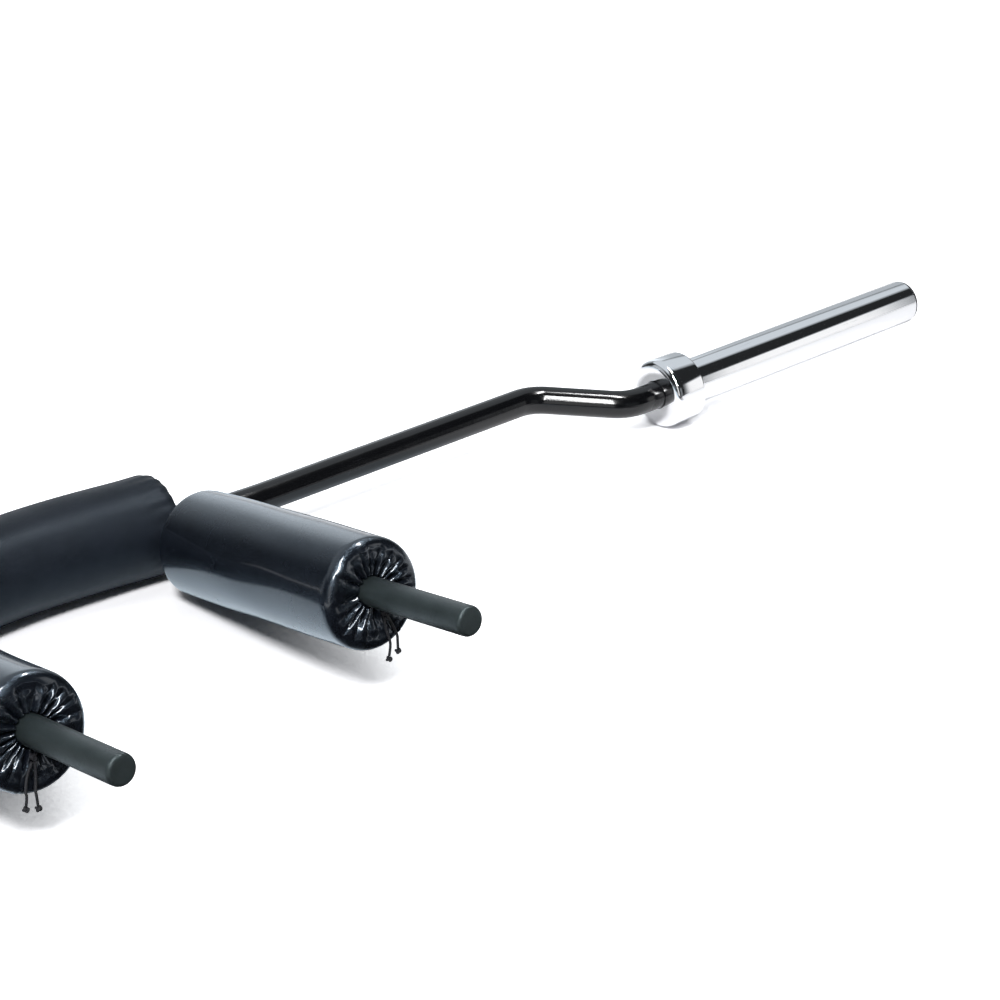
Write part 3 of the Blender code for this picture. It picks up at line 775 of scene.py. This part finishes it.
def neck_shape(seed):
    half, radius, rim = NECK_PAD_HALF_LENGTH, NECK_PAD_RADIUS, NECK_RIM
    stations = end_stations(radius, rim, SHAFT_RADIUS + 0.0014, 0.005)
    rows = [(-half + inset, r, -face) for inset, r, face in reversed(stations)]
    for i in range(1, NECK_BODY_ROWS):
        rows.append((-half + rim + 2 * (half - rim) * i / NECK_BODY_ROWS, radius, 0.0))
    rows += [(half - inset, r, face) for inset, r, face in stations]
    turns = full_turn(NECK_COLUMNS)

    def lifts(along, face):
        slow = lumps(along, turns, 0.0005, seed) * np.clip(1.6 - abs(face), 0, 1)[:, None]
        folds = fold_field(turns, face, REAR_DEPTHS, 25, seed + 1)
        folds += fold_field(turns, -face, REAR_DEPTHS, 25, seed + 2)
        near_end = np.clip(1 - (half - abs(along)) / 0.03, 0, 1) * np.clip(1.3 - abs(face), 0, 1)
        folds += 0.0005 * near_end[:, None] * np.sin(23 * turns + 90 * along[:, None])
        return slow, folds

    def position(along, face, shift, grid_r):
        near_end = np.clip((abs(along) - half + 0.03) / 0.03, 0, 1.2) ** 2 * np.sign(along)
        towards_mouth = np.clip((abs(face) - 1) / 1, 0, 1)
        above = 0.5 + 0.5 * np.sin(turns + 0.3)
        bulge = near_end[:, None] * (0.0040 + 0.0085 * above[None, :])
        bulge = bulge * (1 - 0.8 * towards_mouth[:, None])
        grid_a = along[:, None] + shift + bulge
        grid_r = np.maximum(grid_r, SHAFT_RADIUS + 0.0005)
        centre_y = np.array([BAR_LINE_Y + bow(a) * cos(BEND_TILT) for a in along])
        shaft_z = np.array([SHAFT_HEIGHT + bow(a) * sin(BEND_TILT) for a in along])
        pad_z = NECK_PAD_RADIUS - 0.0010
        centre_z = pad_z + (shaft_z - pad_z) * towards_mouth
        y = centre_y[:, None] + grid_r * np.cos(turns)
        z = centre_z[:, None] + grid_r * np.sin(turns)
        return np.stack([grid_a, y, z], axis=-1)

    pad = pad_shape("neck_roll", rows, lifts, position, seam(turns, radians(-28), radius))
    bore = SHAFT_RADIUS + FIT_GAP
    pad["bore"] = [
        circle(on_bar(a, -bow(a)), (0, 1, 0), (0, 0, 1), bore, NECK_COLUMNS)
        for a in (half - 0.014, *np.linspace(half - 0.02, -half + 0.02, 15), -half + 0.014)
    ]
    pad["slot"] = "neck_vinyl"
    parts = ("cover", "foam", "left_elastic", "right_elastic")
    pad["replaced"] = [f"neck_pad_{part}" for part in parts]
    pad["fill"] = 0.9
    return pad


def coarse_rows(pad):
    """Rows of the skin that the simulated copy keeps: about as far apart as its columns."""
    middle = pad["plain"].mean(axis=1)
    rim = np.linalg.norm(pad["plain"][:, 0] - middle, axis=1)
    steps = np.hypot(np.linalg.norm(np.diff(middle, axis=0), axis=1), np.diff(rim))
    rows, gone = [0], 0.0
    for i, step in enumerate(steps):
        gone += step
        if gone >= ROW_STEP:
            rows.append(i + 1)
            gone = 0.0
    if rows[-1] != len(steps):
        rows.append(len(steps))
    return np.array(rows)


def cloth_copy(pad):
    """A coarse copy of a pad's skin as cloth, held where the hems grip the bar or the arm."""
    rows = coarse_rows(pad)
    points = pad["plain"][rows][:, ::COLUMN_STEP]
    count, columns, _ = points.shape
    index = np.arange(count * columns).reshape(count, columns)
    mesh = bpy.data.meshes.new(pad["name"] + "_settling")
    mesh.from_pydata(points.reshape(-1, 3).tolist(), [], ring_faces(index[:-1], index[1:]))
    turn_outwards(mesh)
    piece = bpy.data.objects.new(mesh.name, mesh)
    bpy.context.scene.collection.objects.link(piece)
    group = piece.vertex_groups.new(name="held")
    for row, weight in enumerate(pad["held"][rows]):
        group.add(index[row].tolist(), float(weight), "REPLACE")
    cloth = piece.modifiers.new("settling", "CLOTH")
    cloth.collision_settings.use_collision = False
    cloth.point_cache.frame_end = SETTLING_FRAMES
    settings = cloth.settings
    settings.quality = 6
    settings.mass = 0.3
    settings.tension_stiffness = 15
    settings.compression_stiffness = 15
    settings.shear_stiffness = 5
    settings.bending_stiffness = 0.5
    settings.shrink_min = -0.03
    settings.use_pressure = True
    settings.uniform_pressure_force = PRESSURE
    settings.effector_weights.gravity = 0
    settings.vertex_group_mass = group.name
    return piece, rows, points


def carry_over(offsets, rows, count):
    """Carries the copy's offsets to all rows and columns of the skin, smoothly."""
    by_row = np.empty((count, offsets.shape[1], 3))
    everywhere = np.arange(count)
    for column in range(offsets.shape[1]):
        for axis in range(3):
            by_row[:, column, axis] = np.interp(everywhere, rows, offsets[:, column, axis])
    following = np.roll(by_row, -1, axis=1)
    fine = np.empty((count, offsets.shape[1] * COLUMN_STEP, 3))
    for i in range(COLUMN_STEP):
        t = i / COLUMN_STEP
        fine[:, i::COLUMN_STEP] = (1 - t) * by_row + t * following
    for _ in range(2):
        fine = (np.roll(fine, 1, axis=1) + 2 * fine + np.roll(fine, -1, axis=1)) / 4
        fine[1:-1] = (fine[:-2] + 2 * fine[1:-1] + fine[2:]) / 4
    return fine


def settle(pads):
    """Blows the pads up as cloth, and gives how far each point of their skins moved."""
    scene = bpy.context.scene
    copies = [cloth_copy(pad) for pad in pads]
    for number in range(1, SETTLING_FRAMES + 1):
        scene.frame_set(number)
    graph = bpy.context.evaluated_depsgraph_get()
    moves = []
    for pad, (piece, rows, points) in zip(pads, copies):
        settled = piece.evaluated_get(graph).to_mesh()
        places = np.empty(len(settled.vertices) * 3)
        settled.vertices.foreach_get("co", places)
        offsets = places.reshape(points.shape) - points
        far = np.linalg.norm(offsets, axis=-1, keepdims=True)
        offsets = offsets * np.minimum(1, SWELL_LIMIT / np.maximum(far, 1e-9))
        moves.append(carry_over(offsets, rows, len(pad["plain"])))
    for piece, _, _ in copies:
        mesh = piece.data
        bpy.data.objects.remove(piece, do_unlink=True)
        bpy.data.meshes.remove(mesh)
    scene.frame_set(1)
    return moves


def make_pads():
    pads = [shoulder_shape("left", -1, 60), shoulder_shape("right", 1, 40), neck_shape(11)]
    moves = settle(pads)
    for pad, moved in zip(pads, moves):
        grid = pad["folded"] + moved
        if pad["slot"] == "neck_vinyl":
            grid[..., 2] = np.maximum(grid[..., 2], ABOVE_FLOOR)
            keep_clear_of_arms(grid)
        rings = list(grid) + pad["bore"]
        piece = skin(pad["name"], rings, pad["slot"], "bar", pad["replaced"], closed=True, sharp=75)


def keep_clear_of_arms(grid):
    """Dents the neck pad's ends where they press against the arms."""
    clearance = ARM_RADIUS + 0.0008
    for way in (-1, 1):
        root = np.array(arm_root(way))
        ahead = np.array(ARM_AHEAD)
        offset = grid - root
        along = offset @ ahead
        beside = offset - along[..., None] * ahead
        height = abs(beside @ np.array(ARM_UP))
        limit = abs(root[0]) - np.sqrt(np.clip(clearance ** 2 - height ** 2, 0, None))
        limit = np.where(height < clearance, limit, abs(root[0]) - 0.002)
        over = way * grid[..., 0] - limit
        near = (along > -clearance) & (over > 0) & (height < clearance + 0.006)
        grid[..., 0] = np.where(near, grid[..., 0] - way * over, grid[..., 0])


# Cords

ROUTE_STEP = 0.002
TAIL_KNOT_FULLNESS = 1.2


def smooth_route(points, spacing):
    """Points along a smooth curve through the given ones."""
    padded = [2 * points[0] - points[1]] + points + [2 * points[-1] - points[-2]]
    route = []
    for i in range(1, len(padded) - 2):
        before, here, there, after = padded[i - 1 : i + 3]
        count = max(1, round((there - here).length / spacing))
        for step in range(count):
            t = step / count
            bend = 2 * before - 5 * here + 4 * there - after
            twist = 3 * here - before - 3 * there + after
            route.append(here + t / 2 * ((there - before) + t * (bend + t * twist)))
    return route + [points[-1]]


def face_directions(way):
    """Directions at a pad's front, swung round the handle: away from it, ahead, and sideways."""
    outwards = Vector((way, 0, 0))
    away = outwards * sin(TAIL_SWING) - ARM_UP * cos(TAIL_SWING)
    side = outwards * cos(TAIL_SWING) + ARM_UP * sin(TAIL_SWING)
    return away, ARM_AHEAD, side


def tail_route(way, turn, hang):
    """A tail's points from the middle of the front face: along the face, over the rim, and down."""
    away, ahead, side = face_directions(way)
    face = TAIL_RADIUS + 2 * CORD_GAP
    knot_front = KNOT_RADIUS + CORD_GAP
    start = away * (KNOT_DROP + KNOT_RADIUS + CORD_GAP) + ahead * knot_front
    start = start + side * turn * TAIL_START_SPREAD
    pad_reach = SHOULDER_PAD_RADIUS + SHOULDER_PAD_SAG * cos(TAIL_SWING)
    rim = away * (pad_reach - PAD_RIM / 2) + ahead * face + side * turn * TAIL_SPREAD
    middle = (start + rim) / 2 - ahead * TAIL_SAG + side * turn * TAIL_FLARE
    below = rim + Vector((0, 0, -TAIL_TURN_DOWN)) + ahead * TAIL_OFF_FACE
    end = rim + Vector((0, 0, -hang)) + side * turn * TAIL_FLARE
    return [start, middle, rim, below, end]


def trefoil(name, centre, radius, tip, replaced):
    """A pulled-tight knot of the cord within a ball of the given radius."""
    steps, sides = 72, 10
    scale = (radius - TAIL_RADIUS) / 3
    turns = full_turn(steps)
    line = np.stack([
        np.sin(turns) + 2 * np.sin(2 * turns),
        np.cos(turns) - 2 * np.cos(2 * turns),
        -1.4 * np.sin(3 * turns),
    ], axis=-1) * scale
    tilt = Vector((0, 0, 1)).rotation_difference(Vector(tip).normalized()).to_matrix()
    line = line @ np.array(tilt).T + np.array(centre)
    rings = []
    for i in range(steps):
        along = Vector(line[(i + 1) % steps] - line[i - 1]).normalized()
        outward = Vector(line[i] - np.array(centre))
        across = along.cross(outward).normalized()
        rings.append(circle(line[i], across, across.cross(along), TAIL_RADIUS, sides))
    return skin(name, rings, "cord", "bar", replaced, closed=True, sharp=80)


def make_tail(side, letter, points):
    """A free tail through the points, with the knot at its end."""
    name = f"{side}_cord_tail_{letter}"
    curve = bpy.data.curves.new(name, "CURVE")
    curve.dimensions = "3D"
    curve.bevel_depth = TAIL_RADIUS
    curve.bevel_resolution = 4
    curve.use_fill_caps = True
    spline = curve.splines.new("POLY")
    spline.points.add(len(points) - 1)
    for spot, point in zip(spline.points, points):
        spot.co = (*point, 1.0)
    curve.materials.append(FINISHES["cord"])
    tail = put(name, curve, "cord", "bar", [f"{side}_tail_{letter}"])
    last = (points[-1] - points[-2]).normalized()
    knot_place = points[-1] + last * (TAIL_KNOT_RADIUS + CORD_GAP)
    knot_radius = TAIL_KNOT_FULLNESS * TAIL_KNOT_RADIUS
    knot = trefoil(f"{name}_knot", knot_place, knot_radius, last, [f"{side}_tail_{letter}_knot"])
    length = sum((b - a).length for a, b in zip(points, points[1:]))
    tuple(points[0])


def make_cords():
    for side, way in SIDES:
        front = on_arm(way, SHOULDER_PAD_END, 0, 0)
        away = face_directions(way)[0]
        knot_place = front + away * KNOT_DROP + ARM_AHEAD * (KNOT_RADIUS + CORD_GAP)
        trefoil(f"{side}_tied_knot", knot_place, KNOT_RADIUS, ARM_AHEAD, [f"{side}_drawcord_knot"])
        for letter, turn, hang in (("a", -1, LONG_TAIL_HANG), ("b", 1, SHORT_TAIL_HANG)):
            route = [front + p for p in tail_route(way, turn, hang)]
            make_tail(side, letter, smooth_route(route, ROUTE_STEP))


# Studio

FLOOR_REACH = 9.0
FLOOR_COLOUR = (0.96, 0.96, 0.98)
FLOOR_GLOW_COLOUR = (0.97, 0.98, 1)
# A bluer floor colour seen only in the pads' reflections: a painted reflection tint.
FLOOR_TINT_IN_PAD_REFLECTIONS = (0.80, 0.90, 0.98)
# The floor's colour where it is painted dark in reflections only: painted shade.
FLOOR_PAINTED_DARK_IN_REFLECTIONS = (0.02, 0.02, 0.022)
FILL = 0.09
ROOM_COLOUR = (0.87, 0.94, 1.0)
DIMMEST_ROOM = 0.02
BRIGHTEST_ROOM = 1.3


def make_floor():
    """White paper that is plain white where little hides the sky, and keeps the shadow close by."""
    mesh = bpy.data.meshes.new("studio_floor")
    square = ((-1, -1), (1, -1), (1, 1), (-1, 1))
    corners = [(FLOOR_REACH * across, FLOOR_REACH * back, 0) for across, back in square]
    mesh.from_pydata(corners, [], [(0, 1, 2, 3)])
    floor = bpy.data.objects.new("studio_floor", mesh)
    bpy.context.scene.collection.objects.link(floor)
    made, tree, shader = finish("white_floor", 0.9)
    shader.inputs["Specular IOR Level"].default_value = 0.0
    shader.inputs["Emission Color"].default_value = (*FLOOR_GLOW_COLOUR, 1)
    place = add(tree, "TexCoord").outputs["Object"]
    split = add(tree, "SeparateXYZ", None, Vector=place)
    x, y = split.outputs["X"], split.outputs["Y"]
    aside = math(tree, "ABSOLUTE", x)
    open_sky = add(tree, "AmbientOcclusion", {"samples": 8}, Distance=0.4)
    # Past |x| 0.6 the floor counts as more open than its occlusion, so it glows white under the
    # sleeves: painted light that washes out their shadow.
    openness_with_painted_light = plus(tree, open_sky.outputs["AO"], smooth_step(tree, aside, 0.60, 0.85, 0.0, 0.25))
    close_glow = smooth_step(tree, openness_with_painted_light, 0.40, 0.56, 0.0, 0.35)
    open_glow = smooth_step(tree, openness_with_painted_light, 0.48, 0.70, 0.0, 0.90)
    glow = plus(tree, close_glow, open_glow)

    light_path = add(tree, "LightPath")
    mirrored = light_path.outputs["Is Glossy Ray"]
    # Near the pads the floor turns bluer in reflections only: a painted reflection tint on the
    # pads' lower sides.
    near_pads = smooth_step(tree, aside, 0.65, 0.45)
    # Seen only in reflections, the floor is painted near black in front of the bar and behind it on
    # the left: painted shade in the reflections of the pads and chrome.
    ahead = times(tree, smooth_step(tree, y, -0.09, -0.15), smooth_step(tree, aside, 0.95, 0.70))
    behind = smooth_step(tree, math(tree, "SUBTRACT", y, times(tree, x, 1.5)), 0.30, 0.65)
    behind = times(tree, behind, smooth_step(tree, x, -0.75, -0.55))
    dark = times(tree, greater(tree, ahead, behind), mirrored)
    paper = mixed(tree, times(tree, near_pads, mirrored), FLOOR_COLOUR, FLOOR_TINT_IN_PAD_REFLECTIONS)
    tree.links.new(mixed(tree, dark, paper, FLOOR_PAINTED_DARK_IN_REFLECTIONS), shader.inputs["Base Color"])

    # Towards the sleeves the floor also glows in reflections: a painted brighter reflection in the
    # chrome, over the floor's shade.
    seen_in_chrome = times(tree, mirrored, smooth_step(tree, aside, 0.45, 0.65, 0.0, 0.35))
    seen = plus(tree, light_path.outputs["Is Camera Ray"], seen_in_chrome)
    tree.links.new(times(tree, seen, glow), shader.inputs["Emission Strength"])
    mesh.materials.append(made)


def make_world():
    """White to the camera. Reflections see a bright wall behind, a grey ceiling, a dim front."""
    world = bpy.data.worlds.new("studio")
    bpy.context.scene.world = world
    world.use_nodes = True
    tree = world.node_tree
    background = tree.nodes["Background"]
    way = add(tree, "TexCoord").outputs["Generated"]
    split = add(tree, "SeparateXYZ", None, Vector=way)
    x, y, z = (split.outputs[axis] for axis in "XYZ")
    aside = math(tree, "ABSOLUTE", x)

    back_and_up = plus(tree, times(tree, y, 0.75), times(tree, z, 0.55))
    back_and_up = plus(tree, back_and_up, times(tree, aside, 0.35))
    ceiling = spread(tree, back_and_up, 0.576, 0.695, 0.0, 0.70)
    ceiling = times(tree, ceiling, smooth_step(tree, z, 0.42, 0.56))

    wall = smooth_step(tree, x, -0.46, 0.36, 0.0, 0.72)
    wall = plus(tree, wall, smooth_step(tree, x, 0.22, 0.48, 0.0, 0.55))
    wall = times(tree, wall, smooth_step(tree, x, 0.66, 0.55, 0.4, 1.0))
    left_wall = smooth_step(tree, x, -0.58, -0.66, 0.0, 0.5)
    left_wall = times(tree, left_wall, smooth_step(tree, y, 0.78, 0.72))
    wall = greater(tree, wall, left_wall)
    wall = times(tree, wall, smooth_step(tree, z, 0.50, 0.40))
    wall = times(tree, wall, spread(tree, y, 0.3, 0.5))

    aside_glow = smooth_step(tree, aside, 0.56, 0.62)
    middle_glow = smooth_step(tree, aside, 0.30, 0.16, 0.0, 0.2)
    front = times(tree, smooth_step(tree, z, 0.47, 0.39), spread(tree, y, 0.1, -0.1))
    front = times(tree, front, greater(tree, aside_glow, middle_glow))
    front = times(tree, front, smooth_step(tree, aside, 0.82, 0.74))

    brightest = greater(tree, greater(tree, ceiling, wall), front)
    mirrored = spread(tree, brightest, 0.0, BRIGHTEST_ROOM, DIMMEST_ROOM, BRIGHTEST_ROOM)
    light_path = add(tree, "LightPath")
    seen = light_path.outputs["Is Camera Ray"]
    glossy = times(tree, light_path.outputs["Is Glossy Ray"], mirrored)
    diffuse = times(tree, light_path.outputs["Is Diffuse Ray"], FILL)
    tree.links.new(plus(tree, seen, plus(tree, glossy, diffuse)), background.inputs["Strength"])
    tint = mixed(tree, greater(tree, seen, front), ROOM_COLOUR, (1, 1, 1))
    tree.links.new(tint, background.inputs["Color"])


def add_softbox(name, place, target, width, height, brightness, kind):
    """A lamp brightness times as bright as white. Its kind says if it lights or is mirrored."""
    data = bpy.data.lights.new(name, "AREA")
    data.shape = "RECTANGLE"
    data.size = width
    data.size_y = height
    data.energy = brightness * pi * width * height
    lamp = bpy.data.objects.new(name, data)
    lamp.location = place
    lamp.rotation_euler = (Vector(target) - Vector(place)).to_track_quat("-Z", "Y").to_euler()
    lamp.visible_camera = False
    lamp.visible_diffuse = kind == "matt"
    lamp.visible_glossy = kind == "mirrored"
    bpy.context.scene.collection.objects.link(lamp)


def light_studio():
    add_softbox(
        "key_softbox", place=(-1.34, -0.98, 2.45), target=(0.1, 0.1, 0.05),
        width=0.6, height=0.6, brightness=94.0, kind="matt",
    )
    add_softbox(
        "neck_highlight", place=(0.98, 0.02, 2.0), target=(0.15, 0.15, 0.05),
        width=0.64, height=0.20, brightness=62.0, kind="mirrored",
    )
    add_softbox(
        "front_strip", place=(-0.69, -1.5, 2.2), target=(0.5, 0.15, 0),
        width=0.22, height=1.9, brightness=60.0, kind="mirrored",
    )
    make_world()


set_camera()
make_cords()
make_shaft()
make_sleeves()
make_grips()
make_pads()
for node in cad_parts.values():
    node.data.materials.clear()
    node.data.materials.append(FINISHES["black_paint"])
for node_name, slot_name in (
    ("thrust_washer", "plain_steel"),
    ("retaining_washer", "plain_steel"),
    ("retaining_bolt", "plain_steel"),
    ("inner_bush", "bearing_bronze"),
    ("outer_bush", "bearing_bronze"),
):
    for side_name, _ in SIDES:
        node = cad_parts[f"{side_name}_{node_name}"]
        node.data.materials[0] = FINISHES[slot_name]
make_floor()
light_studio()
bpy.context.scene.view_settings.view_transform = "Standard"
